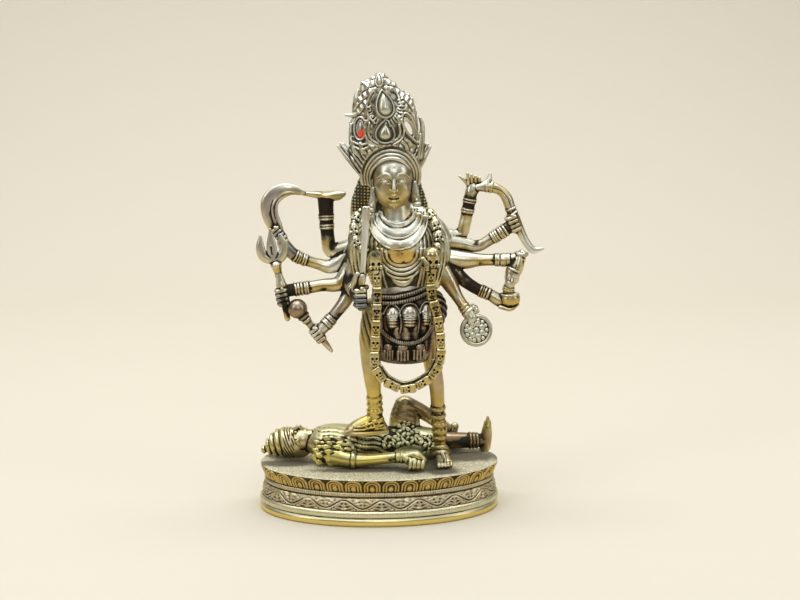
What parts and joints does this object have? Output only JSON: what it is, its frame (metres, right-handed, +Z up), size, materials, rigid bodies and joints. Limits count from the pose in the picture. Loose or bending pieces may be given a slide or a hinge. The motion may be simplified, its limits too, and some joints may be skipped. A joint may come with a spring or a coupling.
{
  "type": "devotional figure sculpture",
  "caption": "Cast brass many-armed standing figure with tall crown, skull garland and held weapons, one foot on a lying figure, on an oval lotus plinth.",
  "frame": {"origin": "centre of the oval plinth's underside", "axes": "+Z up, front towards -Y, +X to the right as seen from the front, along the plinth's long axis"},
  "size_m": [0.2349, 0.115, 0.3604],
  "materials": {
    "plinth_brass": "antique brass, polished foot and high points, brown patina in the recesses",
    "dark_brass": "antique brass with a dark brown and grey-green patina, worn bright on the high points",
    "aged_brass": "antique brass, silvery worn high points over a nearly black patina in the recesses"
  },
  "bodies": {
    "root": {"plinth": "plinth_brass", "reclining_figure": "dark_brass", "standing_figure": "aged_brass"}
  },
  "joints": []
}
